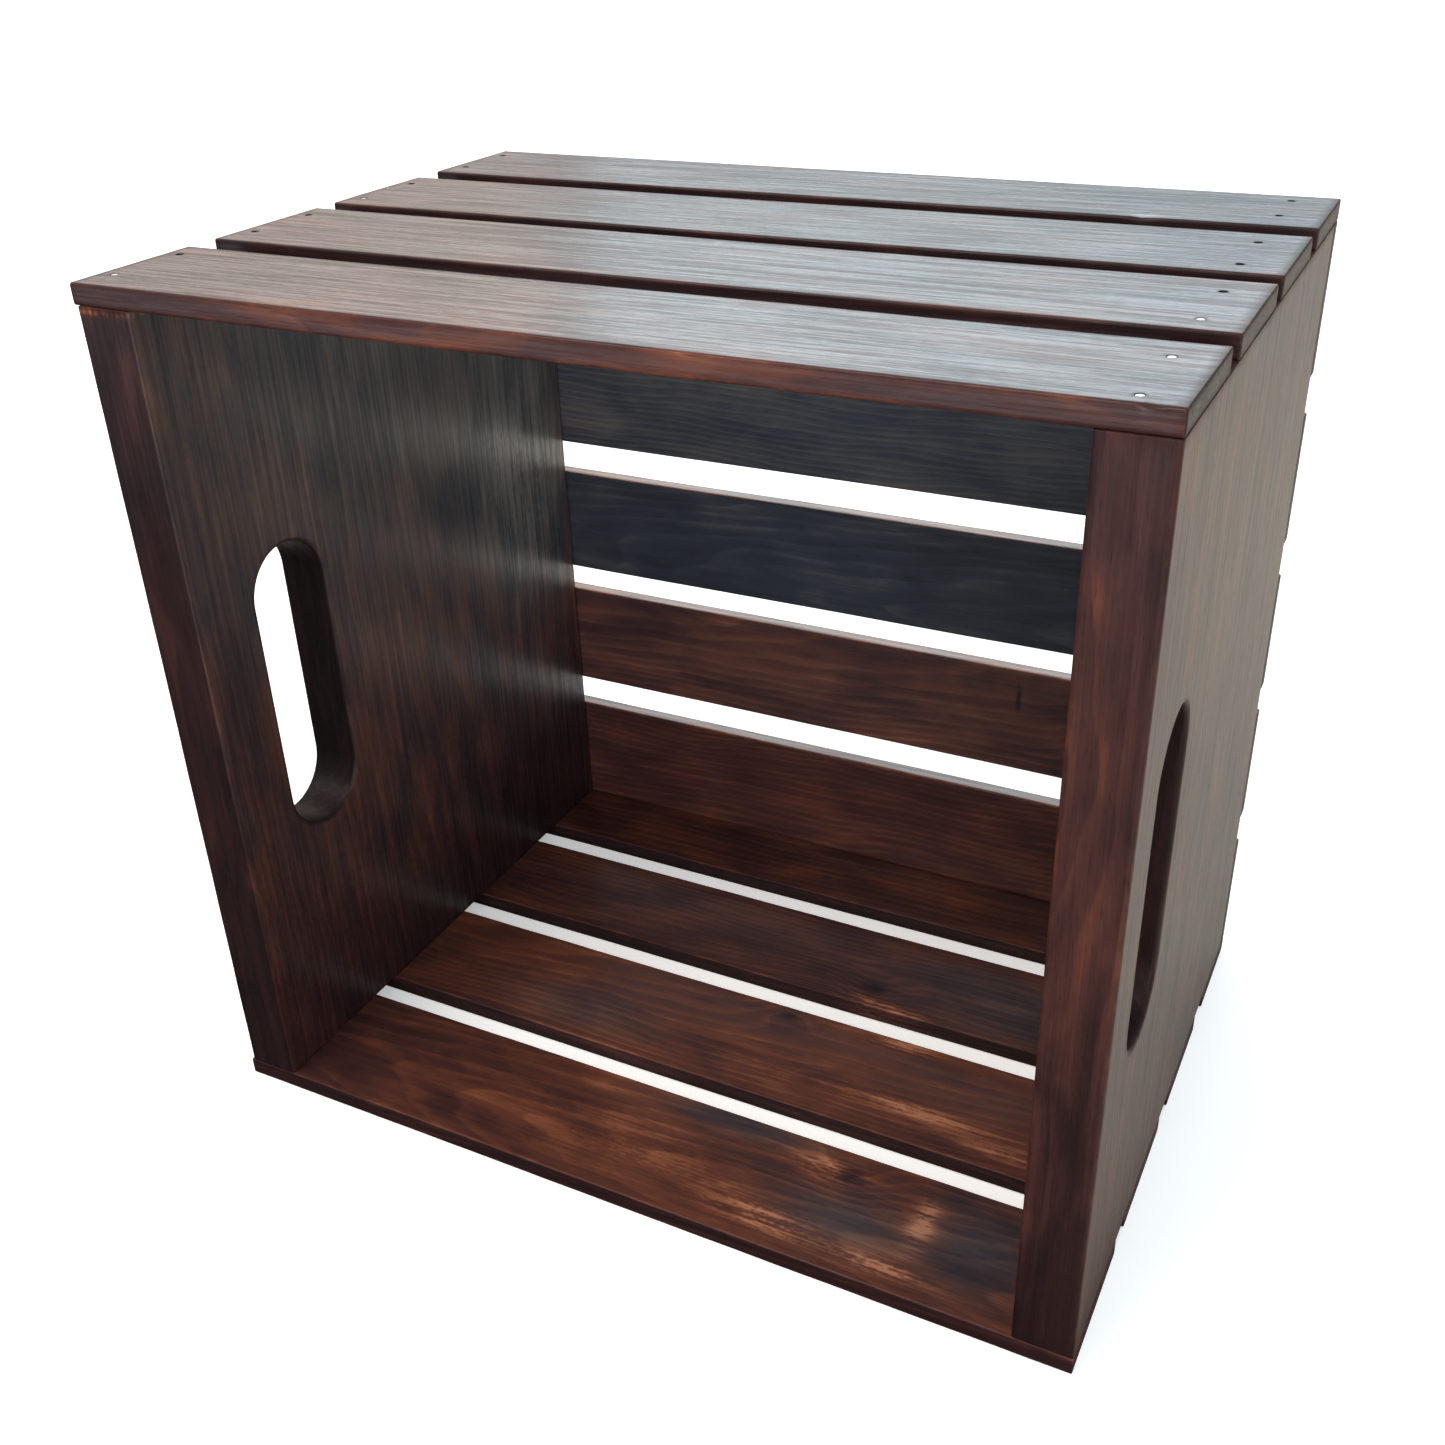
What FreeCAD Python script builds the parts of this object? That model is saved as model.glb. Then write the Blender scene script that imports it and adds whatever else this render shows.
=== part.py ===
import FreeCAD, Part
import os

# Slatted wooden apple crate, lying on one long side with its open mouth towards -Y.
# +X runs along the slats, +Y points through the slatted base of the crate, +Z is up.
# The origin is the centre of the footprint, on the surface the crate lies on.
# All sizes are in millimetres.

os.makedirs("parts", exist_ok=True)

# Overall size
CRATE_LENGTH = 311.0
CRATE_DEPTH = 222.0
CRATE_HEIGHT = 293.0

# Boards
PANEL_THICKNESS = 19.0
SLAT_THICKNESS = 6.5
LEFT_PANEL_INSET = 1.0
SLAT_EDGE_RADIUS = 0.8
PANEL_EDGE_RADIUS = 1.0

# Slat widths and the gaps between them. The side slats count from the mouth to the base,
# and the base slats count from the lower side to the upper side.
TOP_WIDTHS = [48.0, 49.5, 48.5, 46.0]
TOP_GAPS = [10.5, 8.5, 11.0]
BOTTOM_WIDTHS = [50.0, 48.5, 45.0, 40.0]
BOTTOM_GAPS = [11.5, 13.0, 14.0]
BACK_WIDTHS = [47.25, 44.25, 43.5, 45.5, 49.0]
BACK_GAPS = [13.25, 10.75, 13.25, 13.25]

# Hand holes: upright round-ended slots through the end panels. Each one's centre is given by
# its distance from the mouth and its height.
HAND_HOLE_LENGTH = 106.0
HAND_HOLE_WIDTH = 33.0
HAND_HOLE_EDGE_RADIUS = 1.5
LEFT_HOLE_CENTRE = (43.5, 146.5)
RIGHT_HOLE_CENTRE = (40.0, 150.0)

# Brad nails
NAIL_LENGTH = 25.0
NAIL_POINT = 2.0
NAIL_SHANK_RADIUS = 0.7
NAIL_TIP_RADIUS = 0.1
NAIL_HEAD_RADIUS = 1.1
NAIL_HEAD_THICKNESS = 0.8

# How far each pair of nails stands in from its slat's two long edges
TOP_RIGHT_NAIL_MARGINS = [(5.5, 13.0), (9.5, 13.0), (9.0, 12.5), (14.0, 9.0)]
TOP_LEFT_NAIL_MARGINS = [(12.0, 10.0), (12.5, 11.0), (9.5, 12.0), (11.0, 10.0)]
BOTTOM_NAIL_MARGINS = [(9.0, 11.0), (10.5, 9.5), (9.0, 10.0), (10.0, 12.0)]
BACK_NAIL_MARGINS = [(11.0, 9.5), (9.0, 10.5), (10.0, 8.5), (9.0, 9.5), (10.5, 12.0)]

# How far the nails stand in from the ends of the slats. The base nails take the other half of
# the panel's thickness, so that they miss the side nails at the corners.
LEFT_NAIL_INSETS = [5.5, 5.5, 5.5, 5.5]
TOP_RIGHT_NAIL_INSETS = [11.0, 11.5, 13.0, 13.5]
BOTTOM_RIGHT_NAIL_INSETS = [12.5, 12.5, 12.5, 12.5]
BACK_NAIL_INSET_LEFT = 13.0
BACK_NAIL_INSET_RIGHT = 7.0

# Lengths and direction differences under this count as nothing
TOLERANCE = 1e-6

# Derived planes
X_LEFT = -CRATE_LENGTH / 2
X_RIGHT = CRATE_LENGTH / 2
Y_MOUTH = -CRATE_DEPTH / 2
Y_BASE = CRATE_DEPTH / 2
PANEL_DEPTH = CRATE_DEPTH - SLAT_THICKNESS
PANEL_HEIGHT = CRATE_HEIGHT - 2 * SLAT_THICKNESS

X_AXIS = FreeCAD.Vector(1, 0, 0)
Y_AXIS = FreeCAD.Vector(0, 1, 0)
Z_AXIS = FreeCAD.Vector(0, 0, 1)


def vector(x, y, z):
    return FreeCAD.Vector(x, y, z)


def edges_along(shape, direction, least_length):
    """The straight edges of a shape that run along a direction and are long enough to ease."""
    found = []
    for edge in shape.Edges:
        if not isinstance(edge.Curve, Part.Line) or edge.Length < least_length:
            continue
        run = edge.lastVertex().Point - edge.firstVertex().Point
        if run.normalize().cross(direction).Length < TOLERANCE:
            found.append(edge)
    return found


def bands(start, widths, gaps):
    """The low and high coordinate of each slat in a row of slats and gaps."""
    low = start
    result = []
    for index, width in enumerate(widths):
        result.append((low, low + width))
        low += width
        if index < len(gaps):
            low += gaps[index]
    return result


def slat(low, high):
    """One thin board between two corners, with its long edges eased."""
    size = high - low
    board = Part.makeBox(size.x, size.y, size.z, low)
    return board.makeFillet(SLAT_EDGE_RADIUS, edges_along(board, X_AXIS, CRATE_LENGTH / 2))


def nail(head_centre, direction):
    """A brad driven along a direction, with its flat head flush with the slat's face."""
    shank_length = NAIL_LENGTH - NAIL_POINT
    head = Part.makeCylinder(NAIL_HEAD_RADIUS, NAIL_HEAD_THICKNESS, head_centre, direction)
    shank = Part.makeCylinder(NAIL_SHANK_RADIUS, shank_length, head_centre, direction)
    tip_start = head_centre + direction * shank_length
    tip = Part.makeCone(NAIL_SHANK_RADIUS, NAIL_TIP_RADIUS, NAIL_POINT, tip_start, direction)
    return head.fuse([shank, tip]).removeSplitter()


def end_panel(x_low, hole_centre):
    """A solid end board with eased upright edges and a round-ended hand hole."""
    hole_y = Y_MOUTH + hole_centre[0]
    hole_z = hole_centre[1]
    corner = vector(x_low, Y_MOUTH, SLAT_THICKNESS)
    board = Part.makeBox(PANEL_THICKNESS, PANEL_DEPTH, PANEL_HEIGHT, corner)
    board = board.makeFillet(PANEL_EDGE_RADIUS, edges_along(board, Z_AXIS, PANEL_HEIGHT / 2))
    radius = HAND_HOLE_WIDTH / 2
    straight = HAND_HOLE_LENGTH - HAND_HOLE_WIDTH
    low_z = hole_z - straight / 2
    slot_corner = vector(x_low, hole_y - radius, low_z)
    slot = Part.makeBox(PANEL_THICKNESS, HAND_HOLE_WIDTH, straight, slot_corner)
    round_ends = []
    for z in (low_z, low_z + straight):
        round_ends.append(Part.makeCylinder(radius, PANEL_THICKNESS, vector(x_low, hole_y, z), X_AXIS))
    slot = slot.fuse(round_ends).removeSplitter()
    board = board.cut(slot)
    # The rim of the hole on both faces: its flat edges, which all lie on the slot's outline
    rim = []
    for edge in board.Edges:
        on_a_face = edge.BoundBox.XLength < TOLERANCE
        if on_a_face and edge.distToShape(slot)[0] < TOLERANCE:
            rim.append(edge)
    return board.makeFillet(HAND_HOLE_EDGE_RADIUS, rim)


def nail_pairs(slat_bands, margins):
    """The two nail positions across each slat, from its long edges."""
    pairs = []
    for (low, high), (from_low, from_high) in zip(slat_bands, margins):
        pairs.append((low + from_low, high - from_high))
    return pairs


def save(shape, name):
    shape.exportStep("parts/" + name + ".step")


top_bands = bands(Y_MOUTH, TOP_WIDTHS, TOP_GAPS)
bottom_bands = bands(Y_MOUTH, BOTTOM_WIDTHS, BOTTOM_GAPS)
back_bands = bands(SLAT_THICKNESS, BACK_WIDTHS, BACK_GAPS)

# Slats of the upper side, the lower side and the base
boards = {}
for number, (low, high) in enumerate(top_bands, 1):
    low_corner = vector(X_LEFT, low, CRATE_HEIGHT - SLAT_THICKNESS)
    boards["top_slat_%d" % number] = slat(low_corner, vector(X_RIGHT, high, CRATE_HEIGHT))
for number, (low, high) in enumerate(bottom_bands, 1):
    low_corner = vector(X_LEFT, low, 0)
    boards["bottom_slat_%d" % number] = slat(low_corner, vector(X_RIGHT, high, SLAT_THICKNESS))
for number, (low, high) in enumerate(back_bands, 1):
    low_corner = vector(X_LEFT, Y_BASE - SLAT_THICKNESS, low)
    boards["back_slat_%d" % number] = slat(low_corner, vector(X_RIGHT, Y_BASE, high))

# End panels
boards["end_panel_left"] = end_panel(X_LEFT + LEFT_PANEL_INSET, LEFT_HOLE_CENTRE)
boards["end_panel_right"] = end_panel(X_RIGHT - PANEL_THICKNESS, RIGHT_HOLE_CENTRE)

# Nails, one group for each row of slats at each end
nails = {}
side_ends = {
    "left": (X_LEFT, 1, TOP_LEFT_NAIL_MARGINS, LEFT_NAIL_INSETS, LEFT_NAIL_INSETS),
    "right": (X_RIGHT, -1, TOP_RIGHT_NAIL_MARGINS, TOP_RIGHT_NAIL_INSETS, BOTTOM_RIGHT_NAIL_INSETS),
}
for end, (x_end, inward, top_margins, top_insets, bottom_insets) in side_ends.items():
    top_group = []
    for pair, inset in zip(nail_pairs(top_bands, top_margins), top_insets):
        x = x_end + inward * inset
        top_group += [nail(vector(x, y, CRATE_HEIGHT), -Z_AXIS) for y in pair]
    nails["nails_top_" + end] = top_group
    bottom_group = []
    for pair, inset in zip(nail_pairs(bottom_bands, BOTTOM_NAIL_MARGINS), bottom_insets):
        x = x_end + inward * inset
        bottom_group += [nail(vector(x, y, 0), Z_AXIS) for y in pair]
    nails["nails_bottom_" + end] = bottom_group
back_ends = {"left": X_LEFT + BACK_NAIL_INSET_LEFT, "right": X_RIGHT - BACK_NAIL_INSET_RIGHT}
for end, x in back_ends.items():
    back_group = []
    for pair in nail_pairs(back_bands, BACK_NAIL_MARGINS):
        back_group += [nail(vector(x, Y_BASE, z), -Y_AXIS) for z in pair]
    nails["nails_back_" + end] = back_group

# Each nail fills the hole it makes in its slat and its panel
all_nails = []
for group in nails.values():
    all_nails += group
for name, board in boards.items():
    crossing = [pin for pin in all_nails if pin.BoundBox.intersect(board.BoundBox)]
    solid = board.cut(crossing).Solids[0]
    save(solid, name)
for name, group in nails.items():
    save(Part.makeCompound(group), name)
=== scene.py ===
import math
from typing import NamedTuple

import bpy
import numpy as np
from mathutils import Matrix, Vector, noise


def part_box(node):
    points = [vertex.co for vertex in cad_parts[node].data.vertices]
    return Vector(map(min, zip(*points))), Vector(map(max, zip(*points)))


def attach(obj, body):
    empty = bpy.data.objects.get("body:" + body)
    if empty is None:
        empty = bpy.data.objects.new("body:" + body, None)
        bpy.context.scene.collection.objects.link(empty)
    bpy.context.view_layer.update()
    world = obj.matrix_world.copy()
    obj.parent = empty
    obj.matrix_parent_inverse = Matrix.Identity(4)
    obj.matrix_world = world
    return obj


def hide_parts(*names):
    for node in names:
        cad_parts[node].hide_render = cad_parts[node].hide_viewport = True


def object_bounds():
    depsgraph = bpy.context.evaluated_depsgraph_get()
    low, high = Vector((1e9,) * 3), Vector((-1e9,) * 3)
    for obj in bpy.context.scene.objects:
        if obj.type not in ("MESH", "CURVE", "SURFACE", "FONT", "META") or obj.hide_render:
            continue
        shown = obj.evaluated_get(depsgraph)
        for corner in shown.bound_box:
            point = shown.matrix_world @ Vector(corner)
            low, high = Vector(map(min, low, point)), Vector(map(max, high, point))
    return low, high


# A small apple crate of stained pine: slats nailed to two end boards with hand holes.
# Each board is built in millimetres in a frame of its own: u along the grain, v across the
# board and w out of the crate, with the origin at the board's centre.

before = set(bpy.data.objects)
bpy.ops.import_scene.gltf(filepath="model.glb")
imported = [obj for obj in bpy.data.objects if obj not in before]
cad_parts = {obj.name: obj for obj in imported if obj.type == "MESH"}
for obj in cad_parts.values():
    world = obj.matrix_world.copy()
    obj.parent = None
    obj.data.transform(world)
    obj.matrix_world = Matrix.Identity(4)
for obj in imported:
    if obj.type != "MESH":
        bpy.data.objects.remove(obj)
cad_low, cad_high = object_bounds()

MM = 0.001
BODY = "root"
SLAT_SLOT = "stained_slat"
PANEL_SLOT = "stained_end_panel"

# Eased edges of the boards: their radii in millimetres, the share that they vary by and over
# what lengths, and how far from an edge its wear reaches
SLAT_EDGE = 0.8
PANEL_EDGE = 1.1
END_EDGE = 0.4
EDGE_VARIATION = 0.3
EDGE_WAVES = (23, 60, 60)
WORN_WIDTH = 1.3

# The boards' mesh: cells over an eased edge, a line just inside it, the closest that two lines
# can be and the largest cells, all but the first in millimetres
EDGE_CELLS = 3
SUPPORT = 0.4
CLOSEST_LINES = 0.1
STEP_ALONG = 3.0
STEP_ACROSS = 2.2
STEP_THROUGH = 2.2

# How uneven the boards are: how far, and how long the waves are along u, v and w
FACE_BOW = (0.1, (75, 30, 1))
EDGE_BOW = (0.22, (90, 90, 1))
PLANING = (0.03, (9, 4, 4))

# A dent closer than this to a long edge goes in from the edge as well as from the face
DENT_EDGE = 2

# How far a board's seed moves it through the noise of its shape, and of its stain
SHAPE_SHIFT = (7.31, 3.77, 5.13)
STAIN_SHIFT = (213.0, 71.0, 37.0)

# Hand holes, in millimetres. HOLE_MARGIN is the width of finer mesh round each, HOLE_LOOPS are
# the loops in it as shares of the eased edge, and HOLE_CELLS are its cells along and across the
# grain. HOLE_WALL_SHADE is how dark the wall is painted as shade, and the rim is worn most at
# RIM_WEAR from the wall.
HOLE_LENGTH = 106.0
HOLE_WIDTH = 33.0
HOLE_EDGE = 1.6
HOLE_MARGIN = 7.0
HOLE_LOOPS = (2.6, 1.25)
HOLE_CELLS = (60, 24)
HOLE_EDGE_STEPS = 5
HOLE_WALL_STEPS = 7
HOLE_WALL_SHADE = 0.7
RIM_WEAR = 0.6
RIM_WEAR_WIDTH = 1.2

# Nails, in millimetres. Each recess stands in a square block of finer mesh. It is wider than its
# nail's head and goes deeper than the face of the head.
NAIL_LENGTH = 25.0
NAIL_HEAD_RADIUS = 1.1
NAIL_HEAD_THICKNESS = 0.8
NAIL_SHANK_RADIUS = 0.7
NAIL_POINT = 2.0
NAIL_SIDES = 20
NAIL_BLOCK = 2.0
NAIL_BLOCK_CELLS = 6
# How far out from a nail's head its recess is darkened
NAIL_DARK_REACH = 0.35
RECESS_DROP = 0.35
RECESS_SLACK = 0.03
HEAD_DISH = 0.09
FLUSH_DEPTH = 0.1
SUNK_DEPTH = 0.8

# Wood pushed up round a nail: (distance from its head, height) of each ring
SWELLING = [(0.75, 0.0), (0.28, 0.03), (0.12, 0.02), (0.05, -0.1)]

# How far the nails lean at most in radians, its seed, and the sharpest bend shaded as smooth
NAIL_TILT = 0.02
NAIL_SEED = 31
SMOOTH_BEND = math.radians(50)

# Distances under this count as nothing
TOLERANCE = 1e-6


# ---------------------------------------------------------------- board meshes

def grid_lines(half, edge, step, blocks):
    """Grid lines from -half to half: close together over the eased edges, evenly spread across
    each (low, high, cells) block, and at most a step apart elsewhere."""
    inner = half - edge
    marks = [*np.linspace(-half, -inner, EDGE_CELLS + 1), SUPPORT - inner]
    marks += [-mark for mark in marks]
    for low, high, cells in blocks:
        marks += list(np.linspace(low, high, cells + 1))
    lines = [-half]
    for mark in sorted(marks):
        gap = mark - lines[-1]
        if gap > CLOSEST_LINES:
            lines += list(np.linspace(lines[-1], mark, math.ceil(gap / step) + 1)[1:])
    return np.array(lines)


def quads(ids, keep=None, flip=False):
    """Quads over a sheet of vertex numbers, except the cells that keep leaves out."""
    corners = [ids[:-1, :-1], ids[1:, :-1], ids[1:, 1:], ids[:-1, 1:]]
    if flip:
        corners.reverse()
    stacked = np.stack(corners, axis=-1)
    if keep is None:
        return stacked.reshape(-1, 4).tolist()
    return stacked[keep].tolist()


def outside(shape):
    """Which points of a grid of this shape lie on its outside."""
    found = np.zeros(shape, bool)
    for axis in range(3):
        for end in (0, -1):
            found[(slice(None),) * axis + (end,)] = True
    return found


def rounded(points, half, radii):
    """Points on a sharp box moved onto the same box with eased edges."""
    inner = np.clip(points, -(half - radii), half - radii)
    away = (points - inner) / radii
    length = np.maximum(np.linalg.norm(away, axis=1, keepdims=True), TOLERANCE)
    return np.where(length > TOLERANCE, inner + away / length * radii, points)


def wave(points, seed, scale):
    """Smooth noise from about -1 to 1 at each point, with features as long as the scale."""
    moved = points / np.array(scale) + seed * np.array(SHAPE_SHIFT)
    return np.array([noise.noise(Vector(p)) for p in moved])


class Board:
    """One wooden board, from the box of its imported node."""

    def __init__(self, node, along, outward, edge, seed):
        low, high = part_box(node)
        u, w = Vector(along), Vector(outward)
        v = w.cross(u)
        self.node = node
        self.seed = seed
        self.edge = edge
        self.centre = (low + high) / 2
        self.turn = Matrix((u, v, w)).transposed()
        size = self.turn.transposed() @ (high - low)
        self.half = np.array([abs(value) / 2 / MM for value in size])
        self.holes = []
        self.dents = []

    def local(self, point):
        """A point of the crate's frame, in this board's millimetres."""
        return (self.turn.transposed() @ (Vector(point) - self.centre)) / MM

    def add_nail(self, point, depth):
        """A recess for a nail head on the outer face, with a low swelling round it."""
        at = self.local(point)
        rings = [*SWELLING, (RECESS_SLACK, -depth - RECESS_DROP)]
        self.holes.append({
            "centre": (at.x, at.y), "half": (NAIL_BLOCK,) * 2, "cells": (NAIL_BLOCK_CELLS,) * 2,
            "spine": 0.0, "radius": NAIL_HEAD_RADIUS, "rings": rings, "through": False})

    def add_hand_hole(self, centre):
        """A round-ended slot along the grain, right through the board."""
        radius = HOLE_WIDTH / 2
        spine = HOLE_LENGTH / 2 - radius
        half = (spine + radius + HOLE_MARGIN, radius + HOLE_MARGIN)
        top = self.half[2]
        rings = [(HOLE_EDGE * share, top) for share in HOLE_LOOPS]
        for step in range(HOLE_EDGE_STEPS):
            angle = math.pi / 2 * step / HOLE_EDGE_STEPS
            rings.append((HOLE_EDGE * (1 - math.sin(angle)), top - HOLE_EDGE * (1 - math.cos(angle))))
        wall = top - HOLE_EDGE
        rings += [(0.0, height) for height in np.linspace(wall, 0, HOLE_WALL_STEPS)]
        rings += [(offset, -height) for offset, height in reversed(rings[:-1])]
        self.holes.append({
            "centre": tuple(centre), "half": half, "cells": HOLE_CELLS, "spine": spine,
            "radius": radius, "rings": rings, "through": True})

    def blocks(self, axis):
        """Where the holes' blocks begin and end along an axis, and their number of cells."""
        found = set()
        for hole in self.holes:
            centre, half = hole["centre"][axis], hole["half"][axis]
            found.add((centre - half, centre + half, hole["cells"][axis]))
        return found

    def block_cells(self, hole, lines):
        """The first grid line and the last of a hole's block, along u and then along v."""
        found = []
        for axis in (0, 1):
            centre, reach = hole["centre"][axis], hole["half"][axis]
            found += [int(np.abs(lines[axis] - end).argmin()) for end in (centre - reach, centre + reach)]
        return found

    def box_points(self, sharp):
        """Moves the points of a sharp box onto the board's eased one, and marks its worn edges."""
        edge_gap = np.sort(self.half - np.abs(sharp), axis=1)[:, 1]
        radii = np.full(sharp.shape, self.edge)
        radii[:, 1:] *= (1 + EDGE_VARIATION * wave(sharp, self.seed, EDGE_WAVES))[:, None]
        radii[:, 0] = END_EDGE
        self.points = [tuple(p) for p in rounded(sharp, self.half, radii)]
        self.wear = list(np.exp(-((edge_gap / WORN_WIDTH) ** 2)))
        self.darkened = [0.0] * len(self.points)

    def build(self, material, slot):
        """Makes the board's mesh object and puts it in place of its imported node."""
        half = self.half
        largest_edge = self.edge * (1 + EDGE_VARIATION)
        lines = [grid_lines(half[0], END_EDGE, STEP_ALONG, self.blocks(0)),
                 grid_lines(half[1], largest_edge, STEP_ACROSS, self.blocks(1)),
                 grid_lines(half[2], largest_edge, STEP_THROUGH, set())]
        grid = np.stack(np.meshgrid(*lines, indexing="ij"), axis=-1)
        shell = outside(grid.shape[:3])
        ids = np.full(shell.shape, -1)
        ids[shell] = np.arange(shell.sum())
        self.box_points(grid[shell])
        whole_top = np.ones((len(lines[0]) - 1, len(lines[1]) - 1), bool)
        whole_bottom = whole_top.copy()
        faces = []
        for hole in self.holes:
            i0, i1, j0, j1 = self.block_cells(hole, lines)
            whole_top[i0:i1, j0:j1] = False
            if hole["through"]:
                whole_bottom[i0:i1, j0:j1] = False
            faces += self.hole_faces(hole, ids, i0, i1, j0, j1)
        faces += quads(ids[:, :, -1], whole_top)
        faces += quads(ids[:, :, 0], whole_bottom, flip=True)
        faces += quads(ids[-1]) + quads(ids[0], flip=True)
        faces += quads(ids[:, 0]) + quads(ids[:, -1], flip=True)
        self.finish(faces, material)

    def hole_faces(self, hole, ids, i0, i1, j0, j1):
        """The rings of faces that lead from a block's edge into a recess or through a slot."""
        loop = [(i, j0) for i in range(i0, i1)] + [(i1, j) for j in range(j0, j1)]
        loop += [(i, j1) for i in range(i1, i0, -1)] + [(i0, j) for j in range(j1, j0, -1)]
        rim = [int(ids[i, j, -1]) for i, j in loop]
        centre = np.array(hole["centre"])
        outer = np.array([self.points[index][:2] for index in rim]) - centre
        spine = np.zeros_like(outer)
        spine[:, 0] = np.clip(outer[:, 0], -hole["spine"], hole["spine"])
        away = outer - spine
        away /= np.linalg.norm(away, axis=1, keepdims=True)
        faces = []
        for offset, height in hole["rings"]:
            if not hole["through"]:
                height += self.half[2]
            first = len(self.points)
            for u, v in centre + spine + away * (hole["radius"] + offset):
                self.add_point((u, v, height), self.hole_wear(hole, offset), self.hole_darkening(hole, offset))
            ring = list(range(first, len(self.points)))
            faces += self.ring_faces(rim, ring)
            rim = ring
        if hole["through"]:
            faces += self.ring_faces(rim, [int(ids[i, j, 0]) for i, j in loop])
        else:
            middle = len(self.points)
            self.add_point((*centre, height), 0.0, 1.0)
            faces += [[rim[n - 1], rim[n], middle] for n in range(len(rim))]
        return faces

    def add_point(self, point, wear, darkened):
        """Adds a point with its wear and how much it is darkened."""
        self.points.append(point)
        self.wear.append(wear)
        self.darkened.append(darkened)

    @staticmethod
    def hole_wear(hole, offset):
        """How worn a hand hole is at an offset from its wall. Round a nail it is 0."""
        if not hole["through"]:
            return 0.0
        return math.exp(-((offset - RIM_WEAR) / RIM_WEAR_WIDTH) ** 2)

    @staticmethod
    def hole_darkening(hole, offset):
        """How much a point is darkened: in the recess round a nail, and on the wall of a hand hole as
        painted shade.
        """
        if hole["through"]:
            return HOLE_WALL_SHADE * max(0.0, 1 - offset / HOLE_EDGE)
        return math.exp(-offset / NAIL_DARK_REACH)

    @staticmethod
    def ring_faces(outer, inner):
        """Quads between two closed rings of vertex numbers."""
        return [[outer[n - 1], outer[n], inner[n], inner[n - 1]] for n in range(len(outer))]

    def shaped(self):
        """The board's points with its slight bow, waviness and dents, in millimetres."""
        points = np.array(self.points, float)
        flat = points * np.array([1, 1, 0])
        points[:, 2] += FACE_BOW[0] * wave(flat, self.seed, FACE_BOW[1])
        points[:, 1] += EDGE_BOW[0] * wave(flat * np.array([1, 0.3, 0]), self.seed + 11, EDGE_BOW[1])
        points[:, 2] += PLANING[0] * wave(points, self.seed + 23, PLANING[1])
        for u, v, w, radius, depth in self.dents:
            gap = np.linalg.norm((points - np.array([u, v, w])) / np.array(radius), axis=1)
            inward = -np.sign([u, v, w]) * np.array([0, abs(v) > self.half[1] - DENT_EDGE, 1])
            points += np.exp(-gap ** 2)[:, None] * inward * depth
        return points

    def finish(self, faces, material):
        """Makes the mesh object, with its wear and its darkening as attributes for the material."""
        mesh = bpy.data.meshes.new(self.node + "_wood")
        mesh.from_pydata((self.shaped() * MM).tolist(), [], faces)
        for name, values in (("wear", self.wear), ("darkened", self.darkened)):
            layer = mesh.attributes.new(name, "FLOAT", "POINT")
            layer.data.foreach_set("value", np.array(values, np.float32))
        mesh.polygons.foreach_set("use_smooth", [True] * len(mesh.polygons))
        mesh.materials.append(material)
        made = bpy.data.objects.new(self.node + "_wood", mesh)
        bpy.context.scene.collection.objects.link(made)
        made.matrix_world = Matrix.Translation(self.centre) @ self.turn.to_4x4()
        weighted = made.modifiers.new("even_shading", "WEIGHTED_NORMAL")
        weighted.keep_sharp = True
        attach(made, BODY)
        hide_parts(self.node)


# ---------------------------------------------------------------- nails

def nail_profile():
    """Radius and depth of a brad, from the middle of its head to its point."""
    head, shank = NAIL_HEAD_RADIUS, NAIL_SHANK_RADIUS
    under = NAIL_HEAD_THICKNESS
    return [(head * 0.3, 0.07), (head * 0.62, 0.03), (head * 0.88, 0.0), (head * 0.97, 0.05),
            (head, 0.16), (head, under * 0.75), (head * 0.9, under), (shank * 1.1, under + 0.15),
            (shank, under + 0.5), (shank, NAIL_LENGTH - NAIL_POINT),
            (shank * 0.55, NAIL_LENGTH - NAIL_POINT * 0.35), (shank * 0.1, NAIL_LENGTH)]


def nail_mesh(centre, axis, depth, start):
    """Points and faces of one nail: its dished head, shank and point. Start is the number of
    the first point."""
    side = axis.orthogonal().normalized()
    other = axis.cross(side)
    points = [tuple(centre + axis * (depth + HEAD_DISH) * MM)]
    rings = []
    for radius, down in nail_profile():
        ring = []
        for n in range(NAIL_SIDES):
            angle = 2 * math.pi * n / NAIL_SIDES
            spoke = side * math.cos(angle) + other * math.sin(angle)
            ring.append(start + len(points))
            points.append(tuple(centre + (axis * (depth + down) + spoke * radius) * MM))
        rings.append(ring)
    first = rings[0]
    faces = [[start, first[n], first[n - 1]] for n in range(NAIL_SIDES)]
    for outer, inner in zip(rings, rings[1:]):
        faces += [[outer[n - 1], outer[n], inner[n], inner[n - 1]] for n in range(NAIL_SIDES)]
    faces.append(list(rings[-1]))
    return points, faces


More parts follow.
